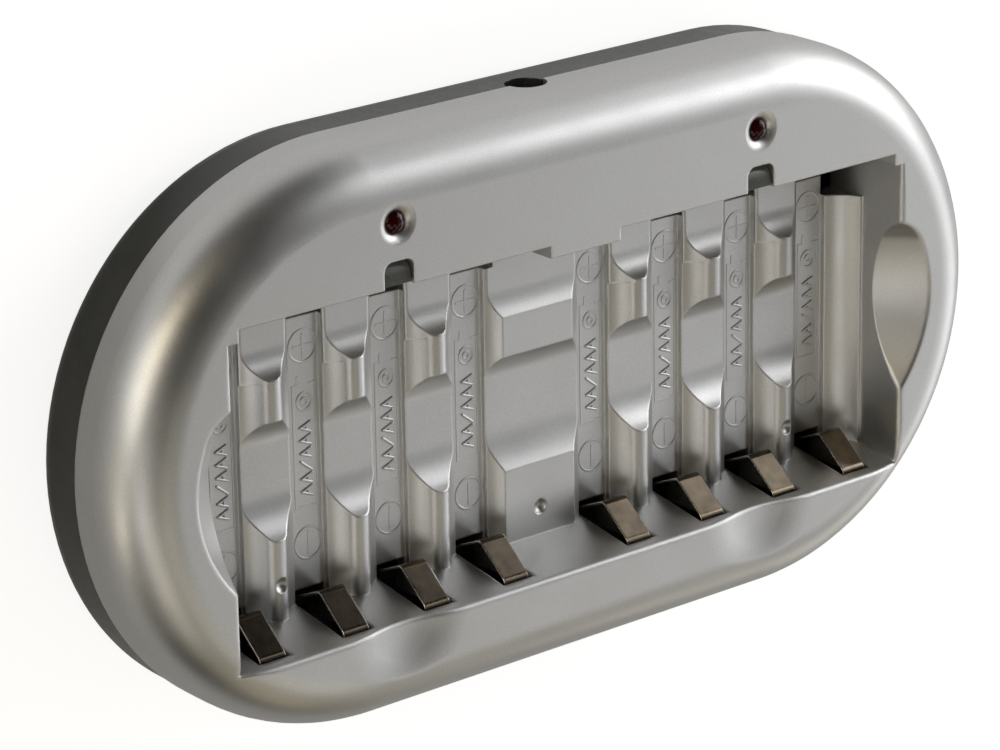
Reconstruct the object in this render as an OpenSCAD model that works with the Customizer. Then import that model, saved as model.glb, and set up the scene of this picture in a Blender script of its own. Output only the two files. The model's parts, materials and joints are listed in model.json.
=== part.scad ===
// Eight-bay charger for round cells: a silver top housing that holds the bays, a dark base,
// a circuit board between them, and one sprung leaf and one fixed plate for each bay.
// It lies on its feet: +Z out of the face, +X along the row of bays, +Y toward the inlet.

/* [Housing] */
// Length of the pill-shaped housing
housing_len = 180.8; // [178:0.2:190]
// Width of the housing, twice the radius of its round ends
housing_w = 96; // [95:0.5:104]
// Height of the face above the table
face_z = 26.7; // [26.2:0.1:29]
// Height of the seam between the top housing and the base
seam_z = 12; // [11.6:0.1:12.6]
// Height of the shadow groove along the seam
seam_gap = 0.4; // [0.2:0.1:0.6]
// Radius of the rim between the face and the sides
rim_r = 9.6; // [8.6:0.1:10.2]
// Wall thickness of both mouldings
wall = 2; // [1.7:0.1:2.2]

/* [Base] */
// How far the base stands back from the side of the top housing
base_inset = 0.3; // [0.1:0.1:0.6]
// Radius of the lower edge of the base
base_edge_r = 4; // [3:0.5:6]
// How far the feet hold the base off the table
foot_h = 1.2; // [0.8:0.1:1.4]
// Diameter of a rubber foot
foot_d = 10; // [8:0.5:12]
// Distance between the feet along the housing
foot_span = 120; // [100:1:128]
// Distance between the feet across the housing
foot_reach = 56; // [44:1:60]

/* [Window] */
// Length of the window in the face
window_len = 141.6; // [141:0.2:143]
// Distance from the middle of the housing to the upper edge of the window
window_top = 25.2; // [25:0.1:25.8]
// Distance from the middle of the housing to the lower edge of the window
window_bottom = 31.6; // [31.2:0.1:32.4]
// How far the lower wall leans between the face and the bay floors
wall_lean = 2.6; // [1.6:0.1:3]
// Width of the tab in the middle of the upper edge
tab_w = 14.6; // [8:0.2:18]
// How far the tab and the corner steps stand into the window
tab_h = 2.1; // [1:0.1:2.4]
// Width of the corner steps
step_w = 1.7; // [1:0.1:3]
// Radius of the round along the lower edge and the ends of the window
lip_round = 0.6; // [0.3:0.1:0.9]

/* [Bays] */
// Distance between the two middle bays
bank_gap = 26.6; // [25.6:0.1:27.6]
// Half the width that a rib keeps between two half-pipes
rib_margin = 0.35; // [0.25:0.05:0.6]
// Gap between the outermost half-pipes and the ends of the window
ledge_gap = 0.1; // [0.05:0.05:0.2]
// Depth of the half-pipe's axis below the face
bay_axis_drop = 7.2; // [7:0.1:7.6]
// Depth of the rib crests below the face
crest_drop = 11; // [10.8:0.1:11.4]
// Depth of the wide divider's top below the face
divider_drop = 12.5; // [12.2:0.1:13]
// Height of the outer ledges above the rib crests
ledge_rise = 1.3; // [0.6:0.1:2]
// Width of the flat strip along the bottom of a bay
strip_w = 6.8; // [6:0.1:7.4]
// Depth of the flat strip below the face
strip_drop = 15.4; // [15.2:0.1:15.7]
// Thickness of the tray under the strips
tray_t = 2.5; // [2.2:0.1:2.8]

/* [Finger cuts] */
// Depth of the flat top cut across the ribs, below the face
cut_drop = 14; // [13.6:0.1:14.4]
// Where the top cut starts to rise
cut_y = 14.5; // [13:0.1:16]
// Length of the rise to the rib crests
cut_run = 3.7; // [3:0.1:4.5]
// Length of the rise to the divider's top
divider_run = 4.4; // [3:0.1:5]
// Depth of the finger trough across the ribs, below the face
trough_drop = 14.5; // [14.2:0.1:14.8]
// Upper end of the finger trough at the rib crests
trough_top = 4; // [2:0.2:6]
// Lower end of the finger trough at the rib crests
trough_bottom = -16.1; // [-18:0.1:-14]
// Radius of the trough's upper end
trough_top_r = 5; // [4:0.1:6]
// Radius of the trough's lower end, a longer rise
trough_bottom_r = 9; // [7:0.5:12]
// Upper end of the trough at the divider's top
divider_trough_top = 3.2; // [2:0.1:4]
// Lower end of the trough at the divider's top
divider_trough_bottom = -16.6; // [-18:0.1:-15]
// Radius of the trough's lower end on the divider
divider_trough_r = 14; // [10:0.5:16]
// Deepest place of the end scoops along the window's ends
scoop_y = -1; // [-4:0.2:2]
// Distance from the deepest place of a scoop to its lower end
scoop_len = 16.9; // [14:0.1:18]
// How far the end scoops reach out onto the face
scoop_reach = 7; // [5:0.1:7.4]
// Radius of the upper end of a scoop
scoop_top_r = 6.5; // [5:0.1:8]
// Turn along the scoop's long arc after which its upper end starts, in degrees
scoop_turn = 18; // [15:0.5:22]
// Radius of the shallow thumb dents at the lower edge
dent_r = 12.5; // [8:0.5:14]
// Depth of the thumb dents at the lower edge
dent_drop = 1.3; // [0.6:0.1:1.5]
// Diameter of the small moulding dimples
dimple_d = 2.7; // [1.4:0.1:3]
// Depth of the dimples
dimple_depth = 0.8; // [0.3:0.1:1]
// Where the dimples sit along the ribs
dimple_y = -23.6; // [-25:0.1:-21]

/* [Contacts] */
// Width of the sprung leaves
leaf_w = 5; // [4:0.1:5.6]
// Thickness of the contact strips
leaf_t = 0.4; // [0.3:0.05:0.5]
// Where the leaves rise from the board
leaf_root_y = -29.8; // [-30.4:0.1:-29.4]
// Where the fold of a leaf stands in its bay
fold_y = -25.8; // [-26.6:0.1:-25]
// Height of the fold below the bay's axis
fold_drop = 2; // [1:0.1:3]
// Depth of a leaf's upper end below the face
leaf_end_drop = 2.9; // [2.7:0.1:3.6]
// Side clearance of a leaf in its slot
slot_clear = 0.75; // [0.5:0.05:1]
// Where the leaf slots start in the bay floors
slot_y = -27.4; // [-27.8:0.1:-27]
// Width of the fixed plates
plate_w = 6; // [5:0.1:6.4]
// How far the plates bulge toward the cells
plate_bulge = 1.3; // [0.6:0.1:1.8]
// Width of the pockets at the upper ends of the bays
pocket_w = 10.4; // [8:0.2:11]
// Where the pockets start
pocket_y = 18.6; // [17:0.1:19]
// Depth of the pockets below the strips
pocket_depth = 1.4; // [0.8:0.1:1.6]

/* [Snap arms and lights] */
// Width of the notches for the snap arms
notch_w = 5.9; // [5.2:0.1:7]
// How far the notches reach past the window's upper edge
notch_reach = 4.3; // [3.6:0.1:5]
// Gap between a snap arm and its notch
notch_gap = 0.3; // [0.2:0.05:0.6]
// How far the arm heads lie below the face
arm_drop = 0.4; // [0.2:0.1:1.2]
// Diameter of a light
light_d = 3.2; // [2.8:0.1:3.6]
// How far a light stands out of the face
light_proud = 1; // [0.6:0.1:1.4]
// Distance from the middle of the housing to the lights
light_y = 35.5; // [34:0.1:36]
// Width of the round edge of a light's hole
flare_run = 2; // [1:0.1:2.2]
// Depth of that round edge
flare_drop = 1.1; // [0.6:0.1:1.4]

/* [Board and inlet] */
// Thickness of the circuit board
board_t = 1.6; // [1.2:0.1:1.8]
// Gap between the base floor and the board
board_gap = 1; // [0.8:0.1:1.2]
// Length of the board
board_len = 134; // [132:1:138]
// Length of the board's upper part, which holds the inlet and the lights
board_upper_len = 86; // [84:0.5:89]
// Diameter of the hole for the plug in the side
inlet_d = 7; // [6.8:0.1:8]
// Diameter of the inlet's mouth
mouth_d = 6.4; // [6.2:0.1:6.8]
// Depth of the mouth ahead of the centre pin
mouth_depth = 3; // [2:0.1:4]
// Diameter of the inlet's centre pin
pin_d = 2.1; // [1.6:0.1:2.6]
// Width of the inlet's body
jack_w = 9; // [8.6:0.1:10]
// Length of the inlet's body
jack_len = 12.2; // [11:0.1:13]

/* [Parts on the board] */
// Diameter of the capacitors
capacitor_d = 8; // [6.3:0.1:8]
// Height of the capacitors
capacitor_h = 11.5; // [8:0.5:12]
// Diameter of the coil's flanges
coil_d = 8.8; // [7:0.1:9]
// Height of the coil
coil_h = 9; // [6:0.5:12]
// Length of the controller chip
chip_len = 18; // [12:0.1:20]
// Width of the controller chip's body
chip_w = 7.5; // [5:0.1:9]
// Height of the controller chip
chip_h = 2.4; // [1.6:0.1:2.6]
// Width of a power transistor
transistor_w = 6.6; // [5:0.1:7]
// Height of a power transistor
transistor_h = 2.3; // [1.6:0.1:2.5]
// Length of a chip resistor
resistor_len = 3.2; // [2:0.1:4]

/* [Screws] */
// Diameter of the screw posts
post_d = 6.4; // [6.2:0.1:7]
// Diameter of the housing screws
screw_d = 2.6; // [2.2:0.1:2.8]
// Distance between the posts along the housing
post_span = 100; // [98:1:108]

/* [Hidden] */
$fn = 64;
// Overlap of a cut past the face it opens, and of rounds past the flats they blend into
eps = 0.5;
blend = 0.01;
// Free gap between pieces that fit into one another
clear = 0.15;
end_r = housing_w / 2;
half_len = housing_len / 2 - end_r;
// Heights of the base, the board and the tray
base_floor = foot_h + wall;
board_z = base_floor + board_gap;
board_top = board_z + board_t;
base_top = seam_z - seam_gap / 2;
top_z = seam_z + seam_gap / 2;
bay_z = face_z - bay_axis_drop;
crest_z = face_z - crest_drop;
divider_z = face_z - divider_drop;
ledge_z = crest_z + ledge_rise;
strip_z = face_z - strip_drop;
cut_z = face_z - cut_drop;
trough_z = face_z - trough_drop;
tray_z = strip_z - tray_t;
pocket_z = strip_z - pocket_depth;
// Height of the joint between the screw posts of the two mouldings
post_z = board_top + wall + 0.2;
// The bays share the length that the window leaves them beside the gap between the banks
bay_pitch = (window_len - bank_gap + 2 * (rib_margin - ledge_gap)) / 7;
bay_r = bay_pitch / 2 - rib_margin;
// Places of the bays, the ribs between them and the middle of each bank of four
bays = [for (side = [-1, 1]) for (k = [0:3]) side * bank_gap / 2 + (side < 0 ? k - 3 : k) * bay_pitch];
ribs = [for (i = [0:6]) if (i != 3) (bays[i] + bays[i + 1]) / 2];
bank_x = bank_gap / 2 + 1.5 * bay_pitch;
// Radius of a crest that runs smoothly into the half-pipes on both sides of a rib
axis_rise = bay_z - crest_z;
crest_r = (pow(bay_pitch / 2, 2) + pow(axis_rise, 2) - pow(bay_r, 2)) / (2 * (bay_r - axis_rise)) + 2 * blend;
crest_side_z = bay_z - bay_r * (axis_rise + crest_r) / norm([bay_pitch / 2, axis_rise + crest_r]);
// Outer faces of the window's walls
tray_x = window_len / 2 + wall;
tray_y = [-window_bottom - wall, window_top + wall];
// Lip of the base inside the seam
lip_r = end_r - wall - clear;
lip_t = 1.2;
lip_low = 3;
lip_high = 2;
// Slots in the tray, and how far the bends of the contact strips reach along them
slot_w = leaf_w + 2 * slot_clear;
slot_top = face_z - leaf_end_drop + slot_clear;
plate_back = 0.7;
bend = 0.7;
plate_y = window_top - plate_back;
plate_slot = [plate_y - plate_back, window_top];
// Screw posts and feet
post_y = [end_r - 10, -end_r + 8];
posts = [for (sx = [-1, 1]) for (y = post_y) [sx * post_span / 2, y]];
feet = [for (sx = [-1, 1]) for (sy = [-1, 1]) [sx * foot_span / 2, sy * foot_reach / 2]];
foot_sink = 0.8;
head_d = screw_d * 2;
head_h = screw_d * 0.6;
head_z = foot_h + screw_d;
screw_reach = 7;
// Board outline and its fastening
board_low = -33;
board_mid = 31;
board_high = end_r - 5;
board_posts = [for (sx = [-1, 1]) for (y = [board_low + 6, 8]) [sx * bank_x, y]];
board_post_d = 5;
board_screw_d = 2;
// Inlet
jack_front = end_r - base_inset - wall - clear;
jack_back = jack_front - jack_len;
jack_top = seam_z + jack_w / 2;
bore_d = mouth_d - 0.5;
bore_depth = jack_len - 3;
// Snap arms
arm_w = notch_w - 2 * notch_gap;
arm_y = [window_top + notch_gap, window_top + notch_reach - notch_gap];
notch_r = 1.6;
arm_r = notch_r - notch_gap;
crown_r = 5;
// Places of the parts on the board
parts_y = end_r - 11.5;
capacitor_x = jack_w / 2 + 1.5 * capacitor_d;
coil_x = -capacitor_x - capacitor_d / 2 - 1.5 * coil_d / 2;
transistor_x = bank_x - 2 * transistor_w;
transistor_y = board_mid - 2.5 * transistor_w;
resistor_pitch = board_len / 9;
resistor_y = board_low / 2;

// Radius of an arc that rises by rise over run, level at its low end
function arc_r(run, rise) = (run * run + rise * rise) / (2 * rise);
// Run of an arc of radius r while it rises, level at its low end
function arc_run(r, rise) = sqrt(rise * (2 * r - rise));
// Where the leaning lower wall stands at height z
function wall_y(z) = -window_bottom + wall_lean * (face_z - z) / (face_z - strip_z);
function unit(v) = v / norm(v);
// A path with each inner corner rounded off over a length t
function bent(path, t, n = 4) = [
    path[0],
    for (i = [1:len(path) - 2])
        let (a = path[i] - t * unit(path[i] - path[i - 1]), c = path[i] + t * unit(path[i + 1] - path[i]))
            for (k = [0:n]) let (s = k / n) pow(1 - s, 2) * a + 2 * s * (1 - s) * path[i] + s * s * c,
    path[len(path) - 1]
];
// The mitred normal of a path at its point i
function mitre(p, i) =
    let (d1 = i > 0 ? unit(p[i] - p[i - 1]) : unit(p[1] - p[0]))
    let (d2 = i < len(p) - 1 ? unit(p[i + 1] - p[i]) : d1)
    let (m = unit(d1 + d2))
    [-m[1], m[0]] / (m * d1);
// Outline of a strip of thickness t along a path
function strip_outline(p, t) = concat(
    [for (i = [0:len(p) - 1]) p[i] + t / 2 * mitre(p, i)],
    [for (i = [len(p) - 1:-1:0]) p[i] - t / 2 * mitre(p, i)]);

// A box between two corners
module block(low, high) {
    translate(low) cube(high - low);
}

// An outline of X and Z carried along Y from y0 to y1
module along_y(y0, y1) {
    translate([0, y1, 0]) rotate([90, 0, 0]) linear_extrude(y1 - y0) children();
}

// An outline of Y and Z carried along X from x0 to x1
module along_x(x0, x1) {
    translate([x0, 0, 0]) rotate([90, 0, 90]) linear_extrude(x1 - x0) children();
}

// Half of the pill's section: a straight side and a round upper edge
module pill_section(r, z0, z1, edge) {
    translate([0, z0]) square([r, z1 - edge - z0]);
    translate([0, z0]) square([r - edge, z1 - z0]);
    intersection() {
        translate([r - edge, z1 - edge]) circle(edge);
        translate([0, z1 - edge - blend]) square([2 * r, 2 * edge]);
    }
}

// Pill-shaped solid with a round upper edge
module pill(r, z0, z1, edge) {
    along_x(-half_len, half_len) {
        pill_section(r, z0, z1, edge);
        mirror([1, 0]) pill_section(r, z0, z1, edge);
    }
    for (side = [-1, 1])
        translate([side * half_len, 0, 0]) rotate([0, 0, -90 * side])
            rotate_extrude(angle = 180) pill_section(r, z0, z1, edge);
}

// The same solid with its round edge below
module pill_down(r, z0, z1, edge) {
    translate([0, 0, z0 + z1]) mirror([0, 0, 1]) pill(r, z0, z1, edge);
}

// Plain pill outline
module pill_outline(r) {
    square([2 * half_len, 2 * r], center = true);
    for (side = [-1, 1]) translate([side * half_len, 0]) circle(r);
}

// Section across the bays of the open space above the tray
module bay_section() {
    difference() {
        union() {
            for (x = bays) {
                translate([x, bay_z]) circle(bay_r);
                translate([x - strip_w / 2, strip_z]) square([strip_w, axis_rise]);
            }
            translate([bays[0], crest_side_z]) square([bays[7] - bays[0], face_z + eps - crest_side_z]);
            translate([bays[3], divider_z]) square([bays[4] - bays[3], bay_z - divider_z]);
            translate([-window_len / 2, ledge_z]) square([window_len, face_z + eps - ledge_z]);
        }
        for (x = ribs) translate([x, crest_z - crest_r]) circle(crest_r);
    }
}

// Side view of the window: upright upper wall and leaning lower wall
module window_side() {
    low = pocket_z - eps;
    high = face_z + 2 * eps;
    polygon([[window_top, low], [window_top, high], [wall_y(high), high], [wall_y(low), low]]);
}

// Tab in the middle of the window's upper edge
module edge_tab() {
    block([-tab_w / 2, window_top - tab_h, tray_z], [tab_w / 2, window_top + eps, face_z]);
}

// Open space of the window, less the tab and the steps in its upper corners
module window() {
    difference() {
        intersection() {
            along_y(-window_bottom - wall, window_top + eps) bay_section();
            along_x(-window_len, window_len) window_side();
        }
        edge_tab();
        for (side = [-1, 1]) mirror([side < 0 ? 1 : 0, 0, 0]) {
            step_x = window_len / 2 - step_w;
            block([step_x, window_top - tab_h, tray_z], [step_x + step_w + eps, window_top + eps, face_z]);
        }
    }
}

// Side view of the top cut: a flat with an arc that rises toward the middle of the bays
module top_cut_side(run, top) {
    r = arc_r(run, top - cut_z);
    translate([cut_y, cut_z + blend]) square([window_top - cut_y, 2 * r]);
    translate([cut_y, cut_z + r]) circle(r);
}

// Side view of a finger trough that is cut into a rib with its top at height top
module trough_side(top, low_end, low_r, high_end) {
    low = low_end + arc_run(low_r, top - trough_z);
    high = high_end - arc_run(trough_top_r, top - trough_z);
    translate([low, trough_z + blend]) square([high - low, trough_top_r]);
    translate([low, trough_z + low_r]) circle(low_r);
    translate([high, trough_z + trough_top_r]) circle(trough_top_r);
}

// Cuts across the ribs and the divider
module finger_cuts() {
    for (bank = [0, 4]) along_x(bays[bank], bays[bank + 3]) {
        top_cut_side(cut_run, crest_z);
        trough_side(crest_z, trough_bottom, trough_bottom_r, trough_top);
    }
    difference() {
        along_x(bays[3], bays[4]) {
            top_cut_side(divider_run, divider_z);
            trough_side(divider_z, divider_trough_bottom, divider_trough_r, divider_trough_top);
        }
        edge_tab();
    }
}

// Pockets at the upper ends of the bays, and the openings where the outer ledges stop short
module pockets() {
    slot_side = plate_w / 2 + slot_clear;
    ledge_end = cut_y + slot_clear;
    low = tray_z - eps;
    for (x = bays) {
        block([x - pocket_w / 2, pocket_y, pocket_z], [x + pocket_w / 2, window_top, bay_z]);
        block([x - slot_side, plate_slot[0], low], [x + slot_side, plate_slot[1], bay_z]);
    }
    for (side = [-1, 1]) mirror([side < 0 ? 1 : 0, 0, 0])
        block([bays[7] + strip_w / 2, ledge_end, low], [window_len / 2, window_top - tab_h, ledge_z + eps]);
}

// Slots in the floor and the lower wall for the sprung leaves
module leaf_slots() {
    for (x = bays)
        block([x - slot_w / 2, tray_y[0] - eps, tray_z - eps], [x + slot_w / 2, slot_y, slot_top]);
}

// Section of an end scoop: a long arc that turns into a tighter one toward its upper end
module scoop_section(extra) {
    r = arc_r(scoop_len, scoop_reach / sqrt(2));
    translate([-r, 0]) {
        intersection() {
            circle(r + extra);
            rotate(scoop_turn) translate([-2 * r, -4 * r]) square(4 * r);
        }
        rotate(scoop_turn) translate([r - scoop_top_r, 0]) circle(scoop_top_r + extra + blend);
    }
}

// Finger scoop at an end of the window, at 45 degrees across its edge
module end_scoop(extra) {
    start = blend + extra;
    for (side = [-1, 1]) mirror([side < 0 ? 1 : 0, 0, 0])
        translate([window_len / 2, scoop_y, face_z - scoop_reach]) rotate([0, 45, 0])
            translate([0, 0, -start]) linear_extrude(end_r) scoop_section(extra);
}

// Shallow thumb dent at the lower edge, in the middle of each bank: hollow inside, round toward the face
module thumb_dents() {
    half = dent_r / 2;
    r = arc_r(half, dent_drop / 2);
    for (side = [-1, 1]) translate([side * bank_x, -window_bottom, face_z]) rotate_extrude() {
        intersection() {
            translate([0, r - dent_drop]) circle(r);
            translate([0, -dent_drop]) square([half, dent_drop + eps]);
        }
        difference() {
            translate([half, -dent_drop / 2]) square([half, dent_drop / 2 + eps]);
            translate([dent_r, -r]) circle(r + blend);
        }
    }
}

// Rounds along the lower edge and the ends of the window
module lip_rounds() {
    lean = atan2(wall_lean, strip_drop);
    low = -window_bottom - lip_round * tan(45 - lean / 2);
    end = window_len / 2;
    along_x(-end, end) lip_gap(low, wall_y(face_z - wall));
    for (side = [-1, 1]) mirror([side > 0 ? 1 : 0, 0, 0])
        along_y(-window_bottom, window_top - tab_h) lip_gap(-end - lip_round, -end + wall);
}

// What a lip's round takes away between its middle and the open window
module lip_gap(middle, open) {
    difference() {
        translate([middle, face_z - lip_round]) square([open - middle, lip_round + eps]);
        translate([middle, face_z - lip_round]) circle(lip_round + blend);
    }
}

// Small round dimples left by the mould on two ribs and on the divider
module dimples() {
    r = arc_r(dimple_d / 2, dimple_depth);
    for (p = [[ribs[0], dimple_y, crest_z], [0, dimple_y - 1, divider_z], [ribs[5], dimple_y, crest_z]])
        translate(p + [0, 0, r - dimple_depth]) sphere(r);
}

// Outline of a snap arm or its notch: round corners away from the window
module arm_outline(w, y0, y1, r) {
    translate([-w / 2, y0]) square([w, y1 - r - y0]);
    translate([-w / 2 + r, y0]) square([w - 2 * r, y1 - y0]);
    for (side = [-1, 1]) translate([side * (w / 2 - r), y1 - r]) circle(r);
}

// Notches through the upper wall for the snap arms
module notches() {
    for (side = [-1, 1]) translate([side * bank_x, 0, tray_z - eps])
        linear_extrude(face_z - tray_z + 2 * eps)
            arm_outline(notch_w, window_top - eps, window_top + notch_reach, notch_r);
}

// Holes for the lights, with a round edge at the face
module light_holes() {
    hole_r = light_d / 2 + clear;
    edge_r = arc_r(flare_run, flare_drop);
    for (side = [-1, 1]) translate([side * bank_x, light_y, face_z]) {
        translate([0, 0, -wall - eps]) cylinder(r = hole_r, h = wall + 2 * eps);
        rotate_extrude() difference() {
            translate([0, -flare_drop]) square([hole_r + flare_run, flare_drop + eps]);
            translate([hole_r + flare_run, -edge_r]) circle(edge_r + blend);
        }
    }
}

// Hole for the plug, half in the top housing and half in the base
module inlet_hole() {
    translate([0, end_r + eps, seam_z]) rotate([90, 0, 0]) cylinder(d = inlet_d, h = wall + 2 * eps);
}

// What stands inside the top housing: tray, scoop backs and screw posts, clear of the seam lip
module top_inside() {
    reach = lip_r - lip_t - 2 * clear;
    intersection() {
        pill(reach, post_z, face_z - eps, rim_r - end_r + reach);
        union() {
            block([-tray_x, tray_y[0], tray_z], [tray_x, tray_y[1], face_z]);
            end_scoop(wall);
            for (p = posts) translate([p[0], p[1], post_z - eps]) cylinder(d = post_d, h = face_z - post_z);
        }
    }
}

module top_housing() {
    color("silver") difference() {
        union() {
            difference() {
                pill(end_r, top_z, face_z, rim_r);
                pill(end_r - wall, top_z - eps, face_z - wall, rim_r - wall);
            }
            top_inside();
        }
        window();
        finger_cuts();
        pockets();
        leaf_slots();
        end_scoop(0);
        thumb_dents();
        lip_rounds();
        dimples();
        notches();
        light_holes();
        inlet_hole();
        for (p = posts) translate([p[0], p[1], post_z - eps])
            cylinder(d = screw_d + clear, h = screw_reach + 2 * eps);
    }
}

// Upright snap arm with a crowned head
module snap_arm() {
    top = face_z - arm_drop;
    low = foot_h + eps;
    intersection() {
        translate([0, 0, low]) linear_extrude(top - low) arm_outline(arm_w, arm_y[0], arm_y[1], arm_r);
        translate([-arm_w, arm_y[0], top - crown_r]) rotate([0, 90, 0]) cylinder(r = crown_r, h = 2 * arm_w);
    }
    block([-arm_w / 2, arm_y[0], low], [arm_w / 2, arm_y[1] - arm_r, top - 2 * crown_r / 3]);
}

// Lip inside the seam that centres the top housing
module seam_lip() {
    difference() {
        translate([0, 0, seam_z - lip_low]) linear_extrude(lip_low + lip_high) pill_outline(lip_r);
        translate([0, 0, seam_z - lip_low - eps])
            linear_extrude(lip_low + lip_high + 2 * eps) pill_outline(lip_r - lip_t);
        block([-jack_w, 0, seam_z - lip_low - eps], [jack_w, end_r, seam_z + lip_high + eps]);
    }
}

module base_cover() {
    side_r = end_r - base_inset;
    low = foot_h + eps;
    color([0.16, 0.16, 0.17]) difference() {
        union() {
            difference() {
                pill_down(side_r, foot_h, base_top, base_edge_r);
                pill_down(side_r - wall, base_floor, base_top + wall, base_edge_r - wall);
            }
            seam_lip();
            for (p = posts) translate([p[0], p[1], low]) cylinder(d = post_d, h = post_z - low);
            for (p = board_posts) translate([p[0], p[1], low]) cylinder(d = board_post_d, h = board_z - low);
            for (side = [-1, 1]) translate([side * bank_x, 0, 0]) snap_arm();
        }
        inlet_hole();
        for (p = posts) translate(p) {
            translate([0, 0, foot_h - eps]) cylinder(d = head_d + 0.4, h = head_z - foot_h + eps);
            translate([0, 0, head_z - eps]) cylinder(d = screw_d + 0.6, h = post_z - head_z + 2 * eps);
        }
        for (p = board_posts) translate([p[0], p[1], low]) cylinder(d = board_screw_d + clear, h = board_z);
        for (p = feet) translate([p[0], p[1], foot_h - eps])
            cylinder(d = foot_d + 2 * clear, h = foot_sink + eps);
    }
}

module main_board() {
    color("darkgreen") translate([0, 0, board_z]) linear_extrude(board_t) difference() {
        union() {
            translate([-board_len / 2, board_low]) square([board_len, board_mid - board_low]);
            translate([-board_upper_len / 2, board_mid - eps])
                square([board_upper_len, board_high - board_mid + eps]);
        }
        for (side = [-1, 1]) translate([side * bank_x - arm_w / 2 - eps, arm_y[0] - eps])
            square([arm_w + 2 * eps, arm_y[1] - arm_y[0] + 2 * eps]);
        for (p = board_posts) translate(p) circle(d = board_screw_d + 0.3);
    }
}

module dc_jack_body() {
    color([0.07, 0.07, 0.07]) difference() {
        block([-jack_w / 2, jack_back, board_top], [jack_w / 2, jack_front, jack_top]);
        translate([0, jack_front, seam_z]) rotate([90, 0, 0]) {
            translate([0, 0, -eps]) cylinder(d = mouth_d, h = mouth_depth + eps);
            cylinder(d = bore_d, h = bore_depth);
            cylinder(d = pin_d, h = jack_len + eps);
        }
    }
}

module dc_jack_pin() {
    color("gainsboro") translate([0, jack_front - mouth_depth - 0.3, seam_z]) rotate([90, 0, 0]) {
        cylinder(d = pin_d, h = jack_len - mouth_depth);
        translate([0, 0, jack_len - mouth_depth - 0.3]) cylinder(d = pin_d + 1.2, h = 0.5);
    }
}

// Solder blades between the back of the inlet and the board
module dc_jack_terminals() {
    color("gainsboro") for (x = [-jack_w / 3, jack_w / 3])
        block([x - 0.8, jack_back - 0.6, board_top], [x + 0.8, jack_back, seam_z - 2]);
}

// Round-headed light with its flange and its two leads down to the board
module light(side) {
    flange_z = face_z - wall - 1.6;
    color([0.35, 0.02, 0.03]) translate([side * bank_x, light_y, 0]) {
        translate([0, 0, flange_z]) cylinder(d = light_d + 0.7, h = 1.1);
        translate([0, 0, flange_z]) cylinder(d = light_d, h = face_z + light_proud - light_d / 2 - flange_z);
        translate([0, 0, face_z + light_proud - light_d / 2]) sphere(d = light_d);
        for (x = [-1, 1]) translate([x * light_d * 0.4, 0, board_top])
            cylinder(d = 0.5, h = flange_z + eps - board_top);
    }
}

module capacitor(side) {
    groove = capacitor_d / 16;
    color([0.12, 0.14, 0.25]) translate([side * capacitor_x, parts_y, board_top]) difference() {
        cylinder(d = capacitor_d, h = capacitor_h);
        translate([0, 0, capacitor_d / 5]) rotate_extrude() translate([capacitor_d / 2, 0]) circle(groove);
    }
}

module power_coil() {
    flange = coil_h / 6;
    color([0.55, 0.3, 0.12]) translate([coil_x, parts_y, board_top]) {
        cylinder(d = coil_d, h = flange);
        cylinder(d = 0.8 * coil_d, h = coil_h);
        translate([0, 0, coil_h - flange]) cylinder(d = coil_d, h = flange);
    }
}

module controller_chip() {
    legs = 14;
    leg_pitch = chip_len / legs;
    leg_w = leg_pitch / 3;
    span = chip_w * 4 / 3;
    color([0.1, 0.1, 0.1]) translate([0, -chip_w / 2, board_top]) {
        translate([-chip_len / 2, -chip_w / 2, chip_h / 12]) cube([chip_len, chip_w, chip_h * 11 / 12]);
        for (k = [0:legs - 1]) translate([(k - (legs - 1) / 2) * leg_pitch - leg_w / 2, -span / 2, 0])
            cube([leg_w, span, chip_h / 4]);
    }
}

module power_transistor(side) {
    body = transistor_w * 0.9;
    tab = transistor_w * 0.8;
    leg = transistor_w / 8;
    color([0.1, 0.1, 0.1]) translate([side * transistor_x, transistor_y, board_top]) {
        translate([-transistor_w / 2, -body / 2, 0]) cube([transistor_w, body, transistor_h]);
        translate([-tab / 2, 0, 0]) cube([tab, body / 2 + 2 * leg, transistor_h / 4]);
        for (x = [-1, 1]) translate([x * transistor_w / 3 - leg / 2, -body / 2 - 3 * leg, 0])
            cube([leg, 4 * leg, transistor_h / 4]);
    }
}

module chip_resistors() {
    w = resistor_len / 2;
    color([0.15, 0.15, 0.16]) for (k = [-3.5:1:3.5])
        translate([k * resistor_pitch - w, resistor_y, board_top]) cube([resistor_len, w, resistor_len / 5]);
}

module housing_screws() {
    color("dimgray") for (p = posts) translate([p[0], p[1], head_z]) {
        translate([0, 0, -head_h]) difference() {
            cylinder(d = head_d, h = head_h);
            for (turn = [0, 90]) rotate([0, 0, turn]) translate([-head_d / 3, -0.4, -eps])
                cube([head_d / 1.5, 0.8, head_h / 2 + eps]);
        }
        translate([0, 0, -blend]) cylinder(d = screw_d, h = post_z - head_z + screw_reach);
    }
}

module board_screws() {
    color("silver") for (p = board_posts) translate([p[0], p[1], board_top]) {
        cylinder(d = 2 * board_screw_d, h = board_screw_d * 0.6);
        translate([0, 0, -board_t - board_gap]) cylinder(d = board_screw_d, h = board_t + 1.5 * board_gap);
    }
}

module rubber_feet() {
    color([0.05, 0.05, 0.05]) for (p = feet) translate(p) {
        cylinder(d1 = foot_d - 1, d2 = foot_d, h = foot_h);
        translate([0, 0, foot_h - blend]) cylinder(d = foot_d, h = foot_sink + blend);
    }
}

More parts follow.
